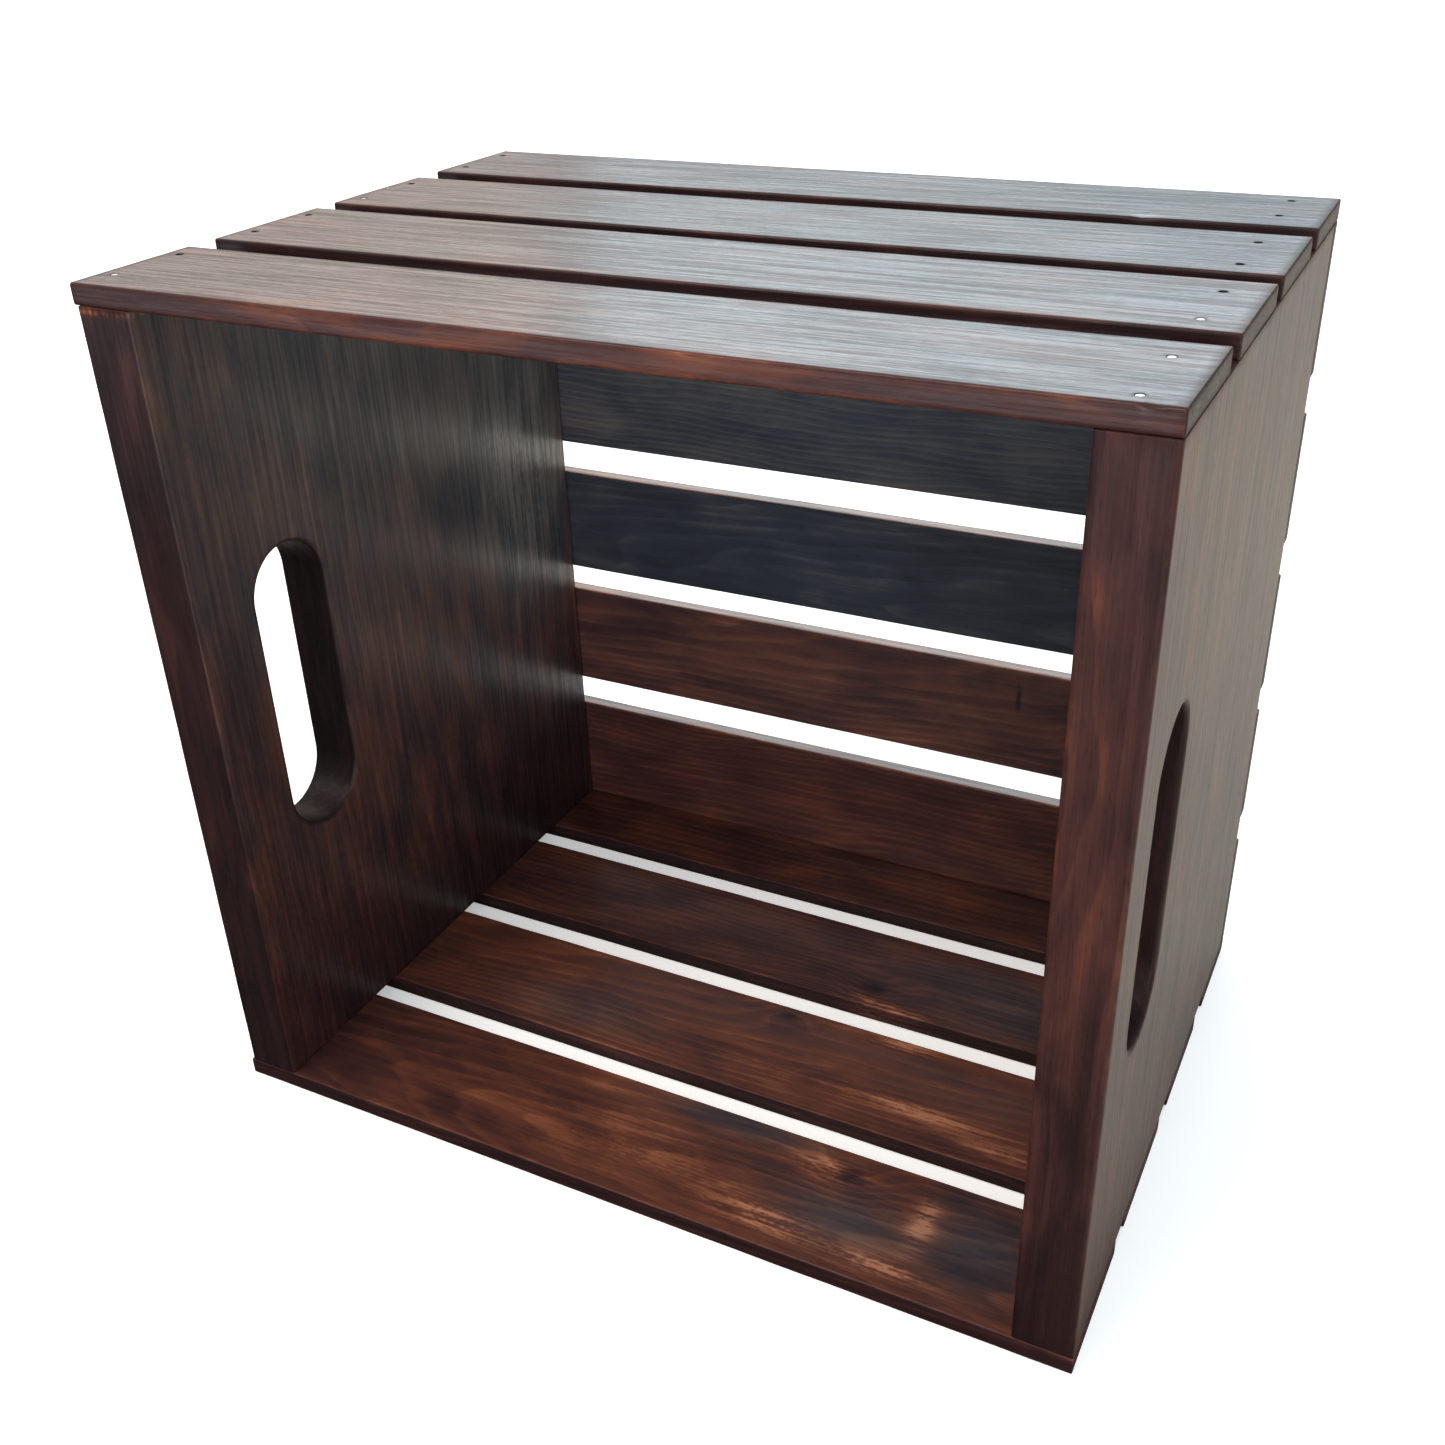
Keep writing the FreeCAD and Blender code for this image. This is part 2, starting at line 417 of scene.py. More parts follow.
def nail_group(node, places, materials):
    """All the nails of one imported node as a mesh, from the (head centre, inward direction,
    depth) of each. The sunk ones take the second material."""
    points, faces, kinds = [], [], []
    rng = np.random.default_rng(len(node) * NAIL_SEED + len(places))
    for centre, inward, depth in places:
        tilt_x, tilt_y = rng.uniform(-NAIL_TILT, NAIL_TILT, 2)
        tilt = Matrix.Rotation(tilt_x, 3, "X") @ Matrix.Rotation(tilt_y, 3, "Y")
        axis = (tilt @ Vector(inward)).normalized()
        nail_points, nail_faces = nail_mesh(centre, axis, depth, len(points))
        points += nail_points
        faces += nail_faces
        kinds += [int(depth == SUNK_DEPTH)] * len(nail_faces)
    mesh = bpy.data.meshes.new(node + "_steel")
    mesh.from_pydata(points, [], faces)
    for material in materials:
        mesh.materials.append(material)
    mesh.polygons.foreach_set("material_index", kinds)
    mesh.polygons.foreach_set("use_smooth", [True] * len(mesh.polygons))
    mesh.set_sharp_from_angle(angle=SMOOTH_BEND)
    made = bpy.data.objects.new(node + "_steel", mesh)
    bpy.context.scene.collection.objects.link(made)
    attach(made, BODY)
    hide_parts(node)


# ---------------------------------------------------------------- materials

class Graph:
    """The nodes of a material or a world, added one by one. Most methods return an output
    socket."""

    def __init__(self, owner):
        owner.use_nodes = True
        self.owner = owner
        self.tree = owner.node_tree
        self.tree.nodes.clear()

    def put(self, socket, value):
        """Links the value to an input socket, or sets it."""
        if isinstance(value, bpy.types.NodeSocket):
            self.tree.links.new(value, socket)
        else:
            socket.default_value = value

    def node(self, kind, inputs, **settings):
        """Adds a node with its inputs and its settings."""
        made = self.tree.nodes.new(kind)
        for key, value in settings.items():
            setattr(made, key, value)
        for key, value in inputs.items():
            self.put(made.inputs[key], value)
        return made

    def math(self, operation, *values, clamp=False):
        """One step of arithmetic on numbers."""
        inputs = dict(enumerate(values))
        return self.node("ShaderNodeMath", inputs, operation=operation, use_clamp=clamp).outputs[0]

    def total(self, *shares):
        """The sum of (value, share) pairs, each value times its share."""
        result = 0.0
        for value, share in shares:
            result = self.math("ADD", result, self.math("MULTIPLY", value, share))
        return result

    def vector(self, operation, *values):
        """One step of arithmetic on vectors."""
        inputs = dict(enumerate(values))
        return self.node("ShaderNodeVectorMath", inputs, operation=operation).outputs[0]

    def noise(self, where, scale, detail=2.0, roughness=0.5, distortion=0.0):
        """Noise from 0 to 1 with features about as long as the scale, in millimetres."""
        stretched = self.vector("DIVIDE", where, scale)
        inputs = {"Vector": stretched, "Scale": 1.0, "Detail": detail,
                  "Roughness": roughness, "Distortion": distortion}
        return self.node("ShaderNodeTexNoise", inputs).outputs[0]

    def step(self, value, low, high, to_low=0.0, to_high=1.0):
        """A smooth step of the value, from to_low to to_high."""
        inputs = {"Value": value, "From Min": low, "From Max": high, "To Min": to_low, "To Max": to_high}
        return self.node("ShaderNodeMapRange", inputs, interpolation_type="SMOOTHSTEP").outputs[0]

    def ramp(self, value, stops):
        """The colour at a value, from (position, colour) stops."""
        made = self.node("ShaderNodeValToRGB", {"Fac": value})
        elements = made.color_ramp.elements
        while len(elements) < len(stops):
            elements.new(0.5)
        for element, (position, colour) in zip(elements, stops):
            element.position = position
            element.color = (*colour, 1)
        return made.outputs["Color"]

    def mix(self, factor, first, second):
        """The first colour at a factor of 0, and the second at 1."""
        made = self.node("ShaderNodeMix", {}, data_type="RGBA")
        self.put(made.inputs["Factor"], factor)
        self.put(made.inputs["A"], first)
        self.put(made.inputs["B"], second)
        return made.outputs["Result"]

    def split(self, vector):
        """The x, y and z of a vector."""
        return self.node("ShaderNodeSeparateXYZ", {"Vector": vector}).outputs

    def here(self):
        """The point being shaded, in its object's own millimetres."""
        place = self.node("ShaderNodeTexCoord", {}).outputs["Object"]
        return self.vector("MULTIPLY", place, (1 / MM, 1 / MM, 1 / MM))

    def seen(self):
        """1 for what the camera sees directly, and 0 for what only lights the scene."""
        return self.node("ShaderNodeLightPath", {}).outputs["Is Camera Ray"]

    def bump(self, height, strength=1.0, distance=MM):
        """The shading normal of a relief with this height, in millimetres by default."""
        inputs = {"Height": height, "Strength": strength, "Distance": distance}
        return self.node("ShaderNodeBump", inputs).outputs[0]

    def attribute(self, name):
        """A number stored on the mesh's points."""
        return self.node("ShaderNodeAttribute", {}, attribute_name=name).outputs["Fac"]

    def surface(self, normal, **inputs):
        """Ends a material with its one shader, and returns it."""
        shader = self.node("ShaderNodeBsdfPrincipled", {"Normal": normal, **inputs})
        self.node("ShaderNodeOutputMaterial", {"Surface": shader.outputs["BSDF"]})
        return self.owner


# The stain's colour, from the darkest wood to the palest
STAIN = [(0.0, (0.006, 0.0035, 0.004)), (0.3, (0.021, 0.0080, 0.0085)), (0.5, (0.050, 0.0180, 0.0160)),
         (0.7, (0.117, 0.036, 0.0195)), (0.86, (0.225, 0.080, 0.040)), (1.0, (0.38, 0.155, 0.085))]

# The same greyed, for a painted bluish-grey sheen on inner faces and for grey smudges of stain
SHEEN_AND_SMUDGE = [(0.0, (0.006, 0.008, 0.012)), (0.4, (0.029, 0.038, 0.053)), (0.6, (0.076, 0.077, 0.080)),
         (1.0, (0.24, 0.23, 0.21))]

# How light the stain is on the crate's outer faces
OUTER_TONE = 0.50


class Varnish(NamedTuple):
    """A coat over the stain: its thinnest and thickest weight, the share of it left on a board's
    long edges, its roughness and its refractive index."""
    thin: float
    thick: float
    edge_share: float
    roughness: float
    index: float


class Figure(NamedTuple):
    """How one board looks. The growth rings lie about a pith line at pith (v, w), ring
    millimetres apart, and lean tilts it along the board. The tone is how light the stain is,
    except on the outer face, and edge_shading is what the long edges add to it: painted shade
    where it is below 0, and a painted highlight where it is above. A knot is (u, v, radius). A
    patch is (u, v, half length, half width, amount), paler if the amount is positive, and
    outer_patches are the ones on the outer face. sheens_and_smudges are the same on the inner
    face, greyed: a painted bluish-grey sheen, and grey smudges of stain on the base slats."""
    pith: tuple
    ring: float
    lean: float
    tone: float
    edge_shading: float
    varnish: Varnish
    knots: tuple = ()
    patches: tuple = ()
    outer_patches: tuple = ()
    sheens_and_smudges: tuple = ()


# What each layer of the wood adds to its lightness
LATE_WOOD = 0.09
FIBRES = 0.18
STREAKS = 0.17
BLOTCHES = 0.62
PORES = -0.16
KNOT_CORES = -0.36
WORN_EDGES = 0.11
END_GRAIN = -0.12
# How much darker the recesses are: round the nails, and on the hand holes' walls as painted shade
DARKENED_RECESSES = -0.4

# Knots: how much longer they are along the grain, how far they push the growth rings out, in
# radii, and how fast that push and the dark core fade
KNOT_STRETCH = 1.35
KNOT_PUSH = 1.6
KNOT_PUSH_FADE = -0.16
KNOT_CORE_FADE = -1.4

# How far the pith line wanders across the board and out of it, in millimetres
PITH_WANDER = (13.0, 11.0)

# Noise in the wood: how long its features are along u, v and w, in millimetres, then its detail,
# roughness and distortion
FIBRE_NOISE = ((46, 0.75, 0.75), 3.0, 0.6)
STREAK_NOISE = ((130, 4.2, 4.2), 2.0)
BLOTCH_NOISE = ((42, 15, 15), 3.0, 0.55, 0.4)
PORE_NOISE = ((5.5, 0.32, 0.32), 1.0)
FLUTE_NOISE = ((42, 1.3, 1.3), 1.0)
FINE_NOISE = ((3.2, 1.1, 1.1), 3.0, 0.6)
RAGGED_NOISE = ((9, 3, 3), 3.0, 0.7)
WANDER_NOISE = (((95, 26, 26), 2.0), ((120, 30, 30), 2.0))
WANDER_SHIFT = (50, 9, 4)

# Where each field steps from nothing to whole: pores, worn edges, and faces by their normals
PORE_STEP = (0.62, 0.78)
RAGGED_STEP = (0.46, 0.68)
END_STEP = (0.6, 0.95)
FACE_STEP = (0.5, 0.9)

# Where in a growth ring the late wood comes in, and where it ends
RING_RISE = (0.35, 0.86)
RING_FALL = (0.9, 1.0)

# Flecks of a pale patch: the noise where they begin and end, and their least and most
FLECKS = (0.42, 0.58, 0.2, 1.5)

# Roughness and refractive index of the stained wood under the varnish
WOOD_ROUGHNESS = 0.34
WOOD_INDEX = 1.2

# Where the varnish breaks between streaks, the share of it that end grain and the darkened
# recesses take up, and the share left on worn edges
FILM_STEP = (0.4, 0.6)
END_SOAK = 0.7
RECESS_SOAK = 0.8
WORN_FILM = 0.25

# Relief of each layer, in millimetres, and the share of it on end grain
LATE_RELIEF = 0.025
FLUTE_RELIEF = 0.08
FIBRE_RELIEF = 0.075
FINE_RELIEF = 0.05
PORE_RELIEF = -0.05
END_RELIEF = 0.4


class Pine(Graph):
    """Stained and varnished pine with a board's own figure. Places and sizes are in the board's
    millimetres."""

    def __init__(self, name, seed, figure):
        super().__init__(bpy.data.materials.new(name))
        self.figure = figure
        here = self.here()
        shifted = self.vector("ADD", here, [seed * shift for shift in STAIN_SHIFT])
        self.shifted = shifted
        self.u, self.v, self.w = self.split(here)
        self.fibre = self.noise(shifted, *FIBRE_NOISE)
        self.streak = self.noise(shifted, *STREAK_NOISE)
        self.blotch = self.noise(shifted, *BLOTCH_NOISE)
        self.pores = self.step(self.noise(shifted, *PORE_NOISE), *PORE_STEP)
        self.flutes = self.noise(shifted, *FLUTE_NOISE)
        self.fine = self.noise(shifted, *FINE_NOISE)
        self.wear = self.attribute("wear")
        self.darkened_recess = self.attribute("darkened")
        facing = self.split(self.node("ShaderNodeTexCoord", {}).outputs["Normal"])
        self.end_grain = self.step(self.math("ABSOLUTE", facing[0]), *END_STEP)
        self.long_edge = self.step(self.math("ABSOLUTE", facing[1]), *FACE_STEP)
        self.outer = self.step(facing[2], *FACE_STEP)
        self.inner = self.step(self.math("MULTIPLY", facing[2], -1.0), *FACE_STEP)
        self.bulge, self.core = self.knot_fields()
        self.late = self.late_wood()

    def squared_gap(self, centre_u, centre_v, length, width):
        """Squared distance from a point of the face, in half lengths and half widths."""
        along = self.math("DIVIDE", self.math("SUBTRACT", self.u, centre_u), length)
        across = self.math("DIVIDE", self.math("SUBTRACT", self.v, centre_v), width)
        return self.total((self.math("MULTIPLY", along, along), 1.0),
                          (self.math("MULTIPLY", across, across), 1.0))

    def knot_fields(self):
        """How far the knots push the growth rings out round them, and their dark cores."""
        bulge = 0.0
        core = 0.0
        for knot_u, knot_v, radius in self.figure.knots:
            square = self.squared_gap(knot_u, knot_v, radius * KNOT_STRETCH, radius)
            wide = self.math("EXPONENT", self.math("MULTIPLY", square, KNOT_PUSH_FADE))
            dark = self.math("EXPONENT", self.math("MULTIPLY", square, KNOT_CORE_FADE))
            bulge = self.math("ADD", bulge, self.math("MULTIPLY", wide, radius * KNOT_PUSH))
            core = self.math("ADD", core, dark)
        return bulge, core

    def late_wood(self):
        """The dark part of each growth ring, from 0 to 1, about a wandering pith line."""
        pith_v, pith_w = self.figure.pith
        elsewhere = self.vector("ADD", self.shifted, WANDER_SHIFT)
        wander_v = self.math("SUBTRACT", self.noise(self.shifted, *WANDER_NOISE[0]), 0.5)
        wander_w = self.math("SUBTRACT", self.noise(elsewhere, *WANDER_NOISE[1]), 0.5)
        ring_v = self.total((self.math("SUBTRACT", self.v, pith_v), 1.0), (wander_v, PITH_WANDER[0]))
        ring_w = self.total((self.math("SUBTRACT", self.w, pith_w), 1.0), (wander_w, PITH_WANDER[1]),
                            (self.u, self.figure.lean))
        square = self.total((self.math("MULTIPLY", ring_v, ring_v), 1.0),
                            (self.math("MULTIPLY", ring_w, ring_w), 1.0))
        distance = self.math("ADD", self.math("SQRT", square), self.bulge)
        phase = self.math("FRACT", self.math("DIVIDE", distance, self.figure.ring))
        return self.math("MULTIPLY", self.step(phase, *RING_RISE), self.step(phase, *RING_FALL, 1.0, 0.0))

    def patch(self, patch_u, patch_v, length, width, amount):
        """A ragged patch that fades out at its half length and half width. A pale one is
        broken into flecks along the grain."""
        square = self.squared_gap(patch_u, patch_v, length, width)
        ragged = self.math("SUBTRACT", self.total((self.blotch, 1.6), (self.fine, 1.4)), 0.5)
        fade = self.math("EXPONENT", self.math("MULTIPLY", self.math("MULTIPLY", square, ragged), -1.0))
        if amount > 0:
            ticks = self.total((self.flutes, 0.35), (self.fine, 0.35), (self.blotch, 0.3))
            fade = self.math("MULTIPLY", fade, self.step(ticks, *FLECKS))
        return self.math("MULTIPLY", fade, amount)

    def lightness(self):
        """Lightness of the stained wood, from 0 to 1, with painted shade and highlights on the long edges
        and the darkened recesses.
        """
        light = self.step(self.outer, 0.0, 1.0, self.figure.tone, OUTER_TONE)
        others = self.math("SUBTRACT", 1.0, self.outer)
        for side, patches in ((others, self.figure.patches), (self.outer, self.figure.outer_patches)):
            for sizes in patches:
                light = self.math("ADD", light, self.math("MULTIPLY", self.patch(*sizes), side))
        ragged_edge = self.step(self.noise(self.shifted, *RAGGED_NOISE), *RAGGED_STEP)
        worn = self.math("MULTIPLY", self.wear, ragged_edge)
        middle = self.math("SUBTRACT", self.late, 0.35)
        layers = [(middle, LATE_WOOD)]
        for layer, share in ((self.fibre, FIBRES), (self.streak, STREAKS), (self.blotch, BLOTCHES)):
            layers.append((self.math("SUBTRACT", layer, 0.5), share))
        layers += [(self.pores, PORES), (self.core, KNOT_CORES), (worn, WORN_EDGES),
                   (self.long_edge, self.figure.edge_shading), (self.end_grain, END_GRAIN),
                   (self.darkened_recess, DARKENED_RECESSES)]
        return self.math("ADD", light, self.total(*layers), clamp=True)

    def colour(self):
        """The stain's colour, greyed on the inner faces by the painted sheens and the grey smudges."""
        light = self.lightness()
        grey = 0.0
        for *place, amount in self.figure.sheens_and_smudges:
            grey = self.math("SUBTRACT", grey, self.patch(*place, -amount), clamp=True)
        grey = self.math("MULTIPLY", grey, self.inner)
        return self.mix(grey, self.ramp(light, STAIN), self.ramp(light, SHEEN_AND_SMUDGE))

    def film(self):
        """Weight of the varnish: thinner between the streaks, on worn edges and on end grain."""
        coat = self.figure.varnish
        streaks = self.total((self.fibre, 0.4), (self.flutes, 0.4), (self.fine, 0.2))
        soaked = self.math("MAXIMUM", self.math("MULTIPLY", self.end_grain, END_SOAK),
                           self.math("MULTIPLY", self.darkened_recess, RECESS_SOAK))
        film = self.step(streaks, *FILM_STEP, coat.thin, coat.thick)
        film = self.math("MULTIPLY", film, self.math("SUBTRACT", 1.0, soaked))
        film = self.math("MULTIPLY", film, self.step(self.wear, 0.0, 1.0, 1.0, WORN_FILM))
        return self.math("MULTIPLY", film, self.step(self.long_edge, 0.0, 1.0, 1.0, coat.edge_share))

    def relief(self):
        """The normal of the grain's relief, which is weaker on the end grain."""
        height = self.total((self.late, LATE_RELIEF), (self.flutes, FLUTE_RELIEF),
                            (self.fibre, FIBRE_RELIEF), (self.fine, FINE_RELIEF),
                            (self.pores, PORE_RELIEF))
        share = self.step(self.end_grain, 0.0, 1.0, 1.0, END_RELIEF)
        return self.bump(self.math("MULTIPLY", height, share))

    def finished(self):
        """The whole material."""
        coat = self.figure.varnish
        rougher = self.total((self.fibre, 0.3), (self.pores, 0.15), (self.end_grain, 0.15))
        roughness = self.math("ADD", WOOD_ROUGHNESS, rougher)
        return self.surface(self.relief(), **{
            "Base Color": self.colour(), "Roughness": roughness, "IOR": WOOD_INDEX,
            "Coat Weight": self.film(), "Coat Roughness": coat.roughness, "Coat IOR": coat.index})


# Colour of the spots on the steel
TARNISH = (0.03, 0.018, 0.014, 1)


def nail_steel(name, colour, roughness, tarnish):
    """Steel with spots of tarnish, from 0, bright, to 1."""
    g = Graph(bpy.data.materials.new(name))
    here = g.here()
    spots = g.noise(here, (0.6, 0.6, 0.6), 4.0, 0.65)
    scratches = g.noise(here, (0.12, 1.4, 0.12), 2.0)
    mask = g.step(spots, 0.42, 0.7)
    mixed = g.mix(g.math("MULTIPLY", mask, tarnish), (*colour, 1), TARNISH)
    rough = g.math("ADD", roughness, g.math("MULTIPLY", spots, 0.25))
    relief = g.bump(g.total((spots, 0.012), (scratches, 0.006)))
    return g.surface(relief, **{"Base Color": mixed, "Roughness": rough, "Metallic": 1.0})


# ---------------------------------------------------------------- the crate

# How far each pair of nails stands in from its slat's two long edges, and each pair from the
# slat's end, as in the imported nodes
TOP_MARGINS = {"left": [(12.0, 10.0), (12.5, 11.0), (9.5, 12.0), (11.0, 10.0)],
               "right": [(5.5, 13.0), (9.5, 13.0), (9.0, 12.5), (14.0, 9.0)]}
BOTTOM_MARGINS = [(9.0, 11.0), (10.5, 9.5), (9.0, 10.0), (10.0, 12.0)]
BACK_MARGINS = [(11.0, 9.5), (9.0, 10.5), (10.0, 8.5), (9.0, 9.5), (10.5, 12.0)]
TOP_INSETS = {"left": [5.5] * 4, "right": [11.0, 11.5, 13.0, 13.5]}
BOTTOM_INSETS = {"left": [5.5] * 4, "right": [12.5] * 4}
BACK_INSETS = {"left": [13.0] * 5, "right": [7.0] * 5}

# Which nails of each row are set below the surface, in order from the mouth or from the ground
SUNK = {"left": (False, True, True, True, False, True, True, True, False, True),
        "right": (False, False, False, True, True, True, True, True, False, False)}

# The hand holes' centres, from the mouth and from the ground
HOLE_CENTRES = {"end_panel_left": (43.5, 146.5), "end_panel_right": (40.0, 150.0)}

# Dented corners of the top slats: (u, v, w, radii, depth)
FRONT_DENT = (149, -24, 3.2, (2.2, 1.6, 1.6), 0.6)
REAR_DENT = (105, -23, 3.2, (2, 2, 2), 0.6)

# The varnishes
STREAKY = Varnish(0.42, 1.0, 1.0, 0.24, 1.5)
EVEN = Varnish(0.5, 0.85, 1.15, 0.24, 1.6)
THIN = Varnish(0.2, 0.5, 1.0, 0.24, 1.5)
DULL = Varnish(0.05, 0.2, 1.0, 0.3, 1.5)
SATIN = Varnish(0.22, 0.38, 1.0, 0.3, 1.5)
GLOSSY = Varnish(0.45, 1.0, 0.25, 0.3, 1.9)

# A painted grey sheen over the whole inner face of a slat
ALL_OVER = (0, 0, 400, 90)

FIGURES = {
    # The long edges of the second to fourth top slats are darkened as painted shade.
    "top_slat_1": Figure(
        (46, -30), 2.6, 0.02, 0.50, 0.05, STREAKY,
        patches=((150, -24, 60, 30, -0.09), (-150, -24, 50, 30, -0.12)),
        outer_patches=((-130, 0, 60, 60, -0.12),)),
    "top_slat_2": Figure((-34, -38), 3.0, -0.03, 0.50, -0.25, STREAKY),
    "top_slat_3": Figure(
        (20, -26), 2.9, 0.05, 0.50, -0.25, STREAKY, outer_patches=((130, 10, 70, 40, -0.12),)),
    "top_slat_4": Figure(
        (-60, -20), 2.4, 0.02, 0.50, -0.25, STREAKY,
        outer_patches=((105, -18, 0.8, 6, -0.5), (120, 0, 80, 60, -0.16))),
    # The base slats' long edges are darkened as painted shade. Their pale patches are paler figured wood
    # and also a painted sheen where it glints, and the greyed ones are grey smudges of stain.
    "bottom_slat_1": Figure(
        (12, 30), 3.1, 0.06, 0.62, -0.3, THIN,
        knots=((69, -14.6, 4.0),),
        patches=((75, 5, 20, 10, -0.14), (118, -2, 17, 16, -0.16), (25, -21, 28, 5, -0.12),
                 (50, 14, 20, 6, 0.3), (90, 17, 20, 4, 0.3), (98, -6, 5, 15, 0.28),
                 (62, -15, 16, 6, 0.26), (-130, 0, 50, 60, -0.12), (0, 4, 60, 18, 0.1)),
        sheens_and_smudges=((75, 5, 20, 10, 0.55), (118, -2, 17, 16, 0.55), (25, -21, 28, 5, 0.45))),
    "bottom_slat_2": Figure(
        (-28, 26), 2.8, -0.05, 0.62, -0.3, THIN,
        knots=((16.6, -19, 3.0),),
        patches=((80, 9, 24, 4, 0.27), (62, -21, 16, 3.5, 0.28), (110, 16, 20, 5, 0.2),
                 (30, 10, 40, 8, 0.1)),
        sheens_and_smudges=((-60, 10, 30, 12, 0.3),)),
    "bottom_slat_3": Figure(
        (36, 20), 2.6, 0.04, 0.54, -0.3, DULL,
        knots=((40, 12, 4.0),),
        patches=((40, 20, 10, 4, 0.3), (58, 21, 14, 3, 0.24), (20, 10, 22, 8, -0.1)),
        sheens_and_smudges=((90, 4, 36, 20, 0.3),)),
    "bottom_slat_4": Figure(
        (-20, 30), 2.7, -0.03, 0.53, -0.3, THIN, patches=((-40, 0, 60, 14, 0.08),)),
    # The long edges of the first four back slats are lightened as a painted highlight, and the grey over
    # the inner faces, faint on the second slat and whole on the upper three, is a painted bluish-grey
    # sheen.
    "back_slat_1": Figure((40, 24), 2.6, 0.03, 0.50, 0.25, EVEN),
    "back_slat_2": Figure(
        (-24, 30), 3.0, -0.05, 0.56, 0.34, EVEN,
        knots=((96, 4, 3.4),), patches=((66.5, -10, 0.8, 5, -0.4),), sheens_and_smudges=((*ALL_OVER, 0.15),)),
    "back_slat_3": Figure((14, 28), 2.8, 0.05, 0.34, 0.55, EVEN, sheens_and_smudges=((*ALL_OVER, 1.0),)),
    "back_slat_4": Figure((-50, 20), 2.5, -0.02, 0.50, 0.42, EVEN, sheens_and_smudges=((*ALL_OVER, 1.0),)),
    "back_slat_5": Figure((30, 26), 2.7, 0.03, 0.46, 0.0, EVEN, sheens_and_smudges=((*ALL_OVER, 1.0),)),
    # The left end board's long edges are darkened as painted shade, its two dark patches low on the inner
    # face, the deeper one at the back, are painted shade, and the grey over its upper part with the pale
    # patch towards the back is a painted sheen.
    "end_panel_left": Figure(
        (30, 60), 3.4, 0.05, 0.59, -0.32, GLOSSY,
        patches=((-140, -20, 60, 130, -0.28), (-110, 80, 60, 60, -0.25), (138.5, -108, 1, 20, 0.3),
                 (10, -92, 80, 14, -0.12), (25, 76, 50, 30, 0.18)),
        sheens_and_smudges=((150, 20, 165, 150, 1.0), (25, 76, 60, 34, 0.8))),
    # The dark patch low at the right end board's front edge is painted shade.
    "end_panel_right": Figure(
        (-36, 70), 3.2, -0.04, 0.50, -0.05, SATIN,
        patches=((-150, 108, 90, 30, -0.26), (150, 108, 40, 30, -0.1))),
}


def make_board(node, along, outward, edge):
    """A board with a seed of its own."""
    seed = sorted(FIGURES).index(node) + 1
    return Board(node, along, outward, edge, seed)


def nail_row(boards, margins, insets, across):
    """Nail places of a row of slats: for each end, a list of (head centre, inward direction,
    depth). Each slat gets its recesses. Across is the number of the crate's axis across the
    slats."""
    groups = {}
    for end in ("left", "right"):
        groups[end] = []
        sunk = iter(SUNK[end])
        for board, pair, inset in zip(boards, margins[end], insets[end]):
            low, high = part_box(board.node)
            outward = board.turn.col[2]
            for stand in (low[across] + pair[0] * MM, high[across] - pair[1] * MM):
                place = board.centre + outward * board.half[2] * MM
                place.x = low.x + inset * MM if end == "left" else high.x - inset * MM
                place[across] = stand
                depth = SUNK_DEPTH if next(sunk) else FLUSH_DEPTH
                board.add_nail(place, depth)
                groups[end].append((place, -outward, depth))
    return groups


X, Y, Z = Vector((1, 0, 0)), Vector((0, 1, 0)), Vector((0, 0, 1))
top = [make_board(f"top_slat_{n}", X, Z, SLAT_EDGE) for n in range(1, 5)]
bottom = [make_board(f"bottom_slat_{n}", X, -Z, SLAT_EDGE) for n in range(1, 5)]
back = [make_board(f"back_slat_{n}", X, Y, SLAT_EDGE) for n in range(1, 6)]
panels = [make_board("end_panel_left", Z, -X, PANEL_EDGE), make_board("end_panel_right", Z, X, PANEL_EDGE)]
top[0].dents.append(FRONT_DENT)
top[3].dents.append(REAR_DENT)

nails = {
    "top": nail_row(top, TOP_MARGINS, TOP_INSETS, 1),
    "bottom": nail_row(bottom, dict.fromkeys(("left", "right"), BOTTOM_MARGINS), BOTTOM_INSETS, 1),
    "back": nail_row(back, dict.fromkeys(("left", "right"), BACK_MARGINS), BACK_INSETS, 2),
}

for panel in panels:
    from_mouth, height = HOLE_CENTRES[panel.node]
    low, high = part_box(panel.node)
    place = panel.local((low.x, low.y + from_mouth * MM, height * MM))
    panel.add_hand_hole((place.x, place.y))

for board in top + bottom + back + panels:
    wood = Pine(board.node + "_pine", board.seed, FIGURES[board.node]).finished()
    board.build(wood, PANEL_SLOT if board in panels else SLAT_SLOT)

bright = nail_steel("bright_steel", (0.82, 0.82, 0.83), 0.38, 0.2)
dark = nail_steel("stained_steel", (0.10, 0.075, 0.065), 0.45, 0.9)
for row, ends in nails.items():
    for end, places in ends.items():
        nail_group(f"nails_{row}_{end}", places, [bright, dark])


# ---------------------------------------------------------------- studio

# The floor's half size and how far it lies under the crate, in metres
FLOOR_REACH = 8.0
FLOOR_GAP = 0.3 * MM

# What the camera sees of the floor: two near whites and a glow
PALE_FLOOR = ((0.92, 0.92, 0.92, 1), (0.95, 0.95, 0.945, 1))
FLOOR_GLOW = 0.38

# What lights the crate from the floor, and over which millimetres each colour takes over from
# the one before: painted cool light far in front, painted shade in front of the crate, painted
# warm light behind and a painted pool of sunlight at the right
COOL_FLOOR = (0.62, 0.69, 0.78, 1)
FRONT_SHADE = (0.045, 0.035, 0.032, 1)
WARM_FLOOR = (0.78, 0.72, 0.64, 1)
SUNLIT_FLOOR = (0.95, 0.88, 0.75, 1)
FRONT_SHADE_Y = (-950, -550)
WARM_Y = (-120, 20)
SUNLIT_X = (145, 190)

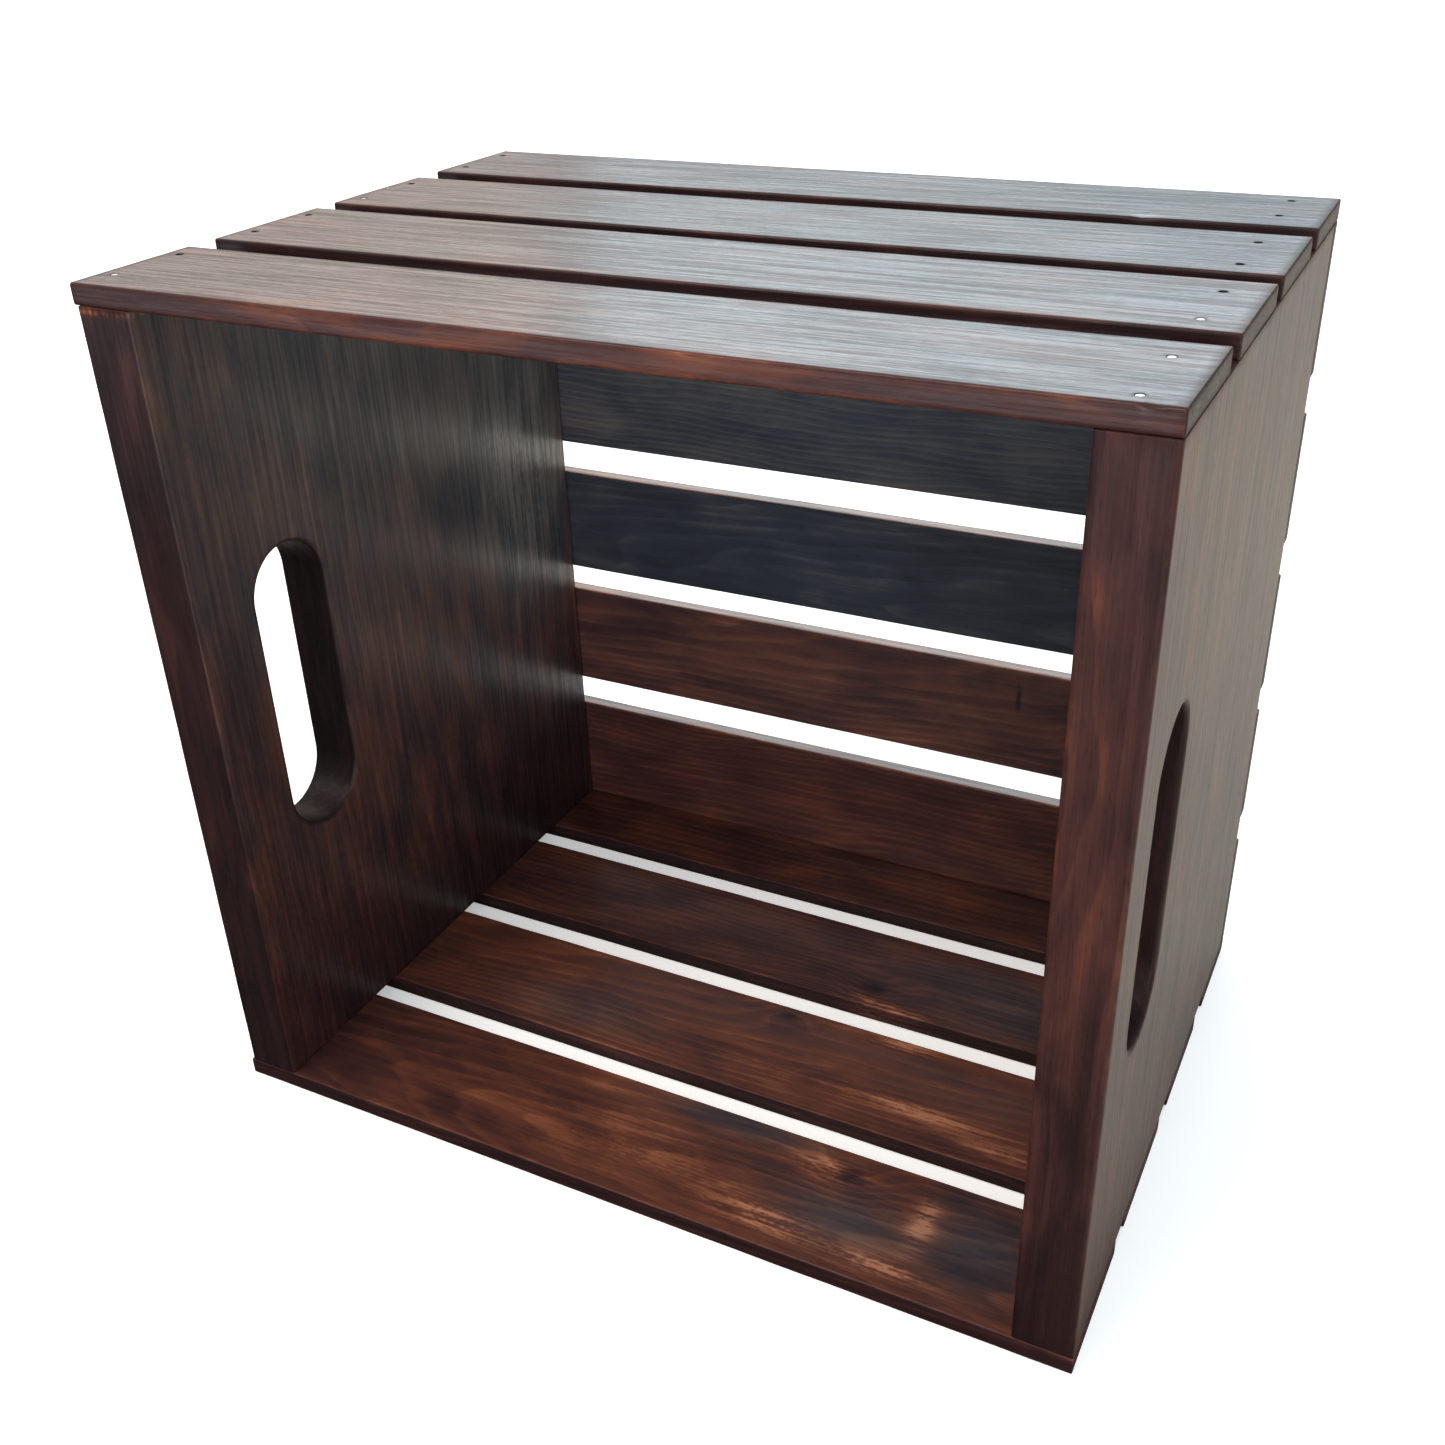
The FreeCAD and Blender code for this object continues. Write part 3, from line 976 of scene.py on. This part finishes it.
# Colour of the room's light along x: on the left at 0, and from the middle to the right at 1
ROOM = [(0.0, (0.82, 0.74, 0.74)), (0.1, (0.82, 0.75, 0.76)), (0.2, (0.90, 0.90, 0.89)),
        (0.35, (0.945, 0.98, 0.98)), (0.5, (0.96, 1.07, 1.08)), (0.72, (0.886, 0.97, 1.0)),
        (0.81, (0.70, 0.78, 0.81)), (0.94, (0.84, 0.95, 1.0))]
ROOM_X = (-0.8, 0.0)

# Strength of the room's light, which grows from low to high, and the backdrop
ROOM_Z = (0.14, 0.6)
ROOM_STRENGTH = (0.42, 1.0)
BACKDROP = (0.92, 0.93, 0.94, 1)


def studio_floor():
    """The floor's material. The camera sees it as plain and pale, and the crate is lit by
    other colours of it, which are painted light and shade."""
    g = Graph(bpy.data.materials.new("studio_floor"))
    here = g.here()
    pale = g.mix(g.noise(here, (700, 700, 700), 3.0), *PALE_FLOOR)
    x, y, _ = g.split(here)
    thrown = g.mix(g.step(y, *FRONT_SHADE_Y), COOL_FLOOR, FRONT_SHADE)
    thrown = g.mix(g.step(y, *WARM_Y), thrown, WARM_FLOOR)
    thrown = g.mix(g.step(x, *SUNLIT_X), thrown, SUNLIT_FLOOR)
    seen = g.seen()
    grain = g.noise(here, (1.5, 1.5, 1.5), 2.0)
    return g.surface(g.bump(grain, 0.2, 0.05 * MM), **{
        "Base Color": g.mix(seen, thrown, pale), "Specular IOR Level": 0.2,
        "Roughness": g.math("ADD", 0.6, g.math("MULTIPLY", grain, 0.1)),
        "Emission Color": (1, 1, 1, 1), "Emission Strength": g.math("MULTIPLY", seen, FLOOR_GLOW)})


def lay_floor():
    """A wide floor just under the crate."""
    mesh = bpy.data.meshes.new("floor")
    corners = [(-FLOOR_REACH, -FLOOR_REACH, 0), (FLOOR_REACH, -FLOOR_REACH, 0),
               (FLOOR_REACH, FLOOR_REACH, 0), (-FLOOR_REACH, FLOOR_REACH, 0)]
    mesh.from_pydata(corners, [], [(0, 1, 2, 3)])
    mesh.materials.append(studio_floor())
    floor = bpy.data.objects.new("floor", mesh)
    floor.location.z = cad_low.z - FLOOR_GAP
    bpy.context.scene.collection.objects.link(floor)


def studio_room():
    """The room's light from each direction, and the plain backdrop that the camera sees."""
    g = Graph(bpy.data.worlds.new("studio"))
    x, _, z = g.split(g.node("ShaderNodeTexCoord", {}).outputs["Generated"])
    along = {"Value": x, "From Min": ROOM_X[0], "From Max": ROOM_X[1]}
    tint = g.ramp(g.node("ShaderNodeMapRange", along).outputs[0], ROOM)
    light = {"Color": tint, "Strength": g.step(z, *ROOM_Z, *ROOM_STRENGTH)}
    room = g.node("ShaderNodeBackground", light).outputs[0]
    backdrop = g.node("ShaderNodeBackground", {"Color": BACKDROP}).outputs[0]
    shown = g.node("ShaderNodeMixShader", {0: g.seen(), 1: room, 2: backdrop}).outputs[0]
    g.node("ShaderNodeOutputWorld", {"Surface": shown})
    return g.owner


def soft_light(name, place, size, power, colour):
    """A rectangular light, aimed at the middle of the crate and unseen by the camera."""
    data = bpy.data.lights.new(name, "AREA")
    data.shape = "RECTANGLE"
    data.size, data.size_y = size
    data.energy = power
    data.color = colour
    made = bpy.data.objects.new(name, data)
    made.location = place
    made.rotation_mode = "QUATERNION"
    aim = (cad_low + cad_high) / 2 - Vector(place)
    made.rotation_quaternion = aim.to_track_quat("-Z", "Y")
    made.visible_camera = False
    bpy.context.scene.collection.objects.link(made)


lay_floor()
bpy.context.scene.world = studio_room()
soft_light("key", (-0.5, -1.0, 1.5), (0.8, 0.8), 17.0, (1.0, 0.86, 0.74))
soft_light("fill", (0.7, -2.1, 0.55), (1.6, 0.9), 24.0, (1.0, 0.95, 0.95))
soft_light("window", (-0.35, 2.1, 1.3), (2.0, 1.0), 17.0, (0.78, 0.93, 1.0))
soft_light("lamp", (-1.7, 1.6, 1.25), (1.1, 0.9), 5.0, (1.0, 0.84, 0.72))


# ---------------------------------------------------------------- camera

# From the fit to the photo: place in metres, lens in millimetres on a 36 mm sensor
CAMERA_PLACE = (0.2096, -0.4217, 0.3942)
YAW, PITCH, ROLL = math.radians(-27.565), math.radians(29.465), math.radians(-2.025)
LENS = 38.6


def camera_axes():
    """The camera's right, up and backward directions as a matrix."""
    forward = Vector((math.sin(YAW) * math.cos(PITCH), math.cos(YAW) * math.cos(PITCH), -math.sin(PITCH)))
    level = Vector((math.cos(YAW), -math.sin(YAW), 0))
    over = level.cross(forward)
    right = level * math.cos(ROLL) + over * math.sin(ROLL)
    up = over * math.cos(ROLL) - level * math.sin(ROLL)
    return Matrix((right, up, -forward)).transposed()


camera_data = bpy.data.cameras.new("camera")
camera_data.sensor_width = 36.0
camera_data.lens = LENS
camera_data.clip_start = 0.01
camera_data.clip_end = 50.0
camera = bpy.data.objects.new("camera", camera_data)
camera.matrix_world = Matrix.Translation(CAMERA_PLACE) @ camera_axes().to_4x4()
bpy.context.scene.collection.objects.link(camera)
bpy.context.scene.camera = camera
bpy.context.scene.view_settings.view_transform = "Standard"
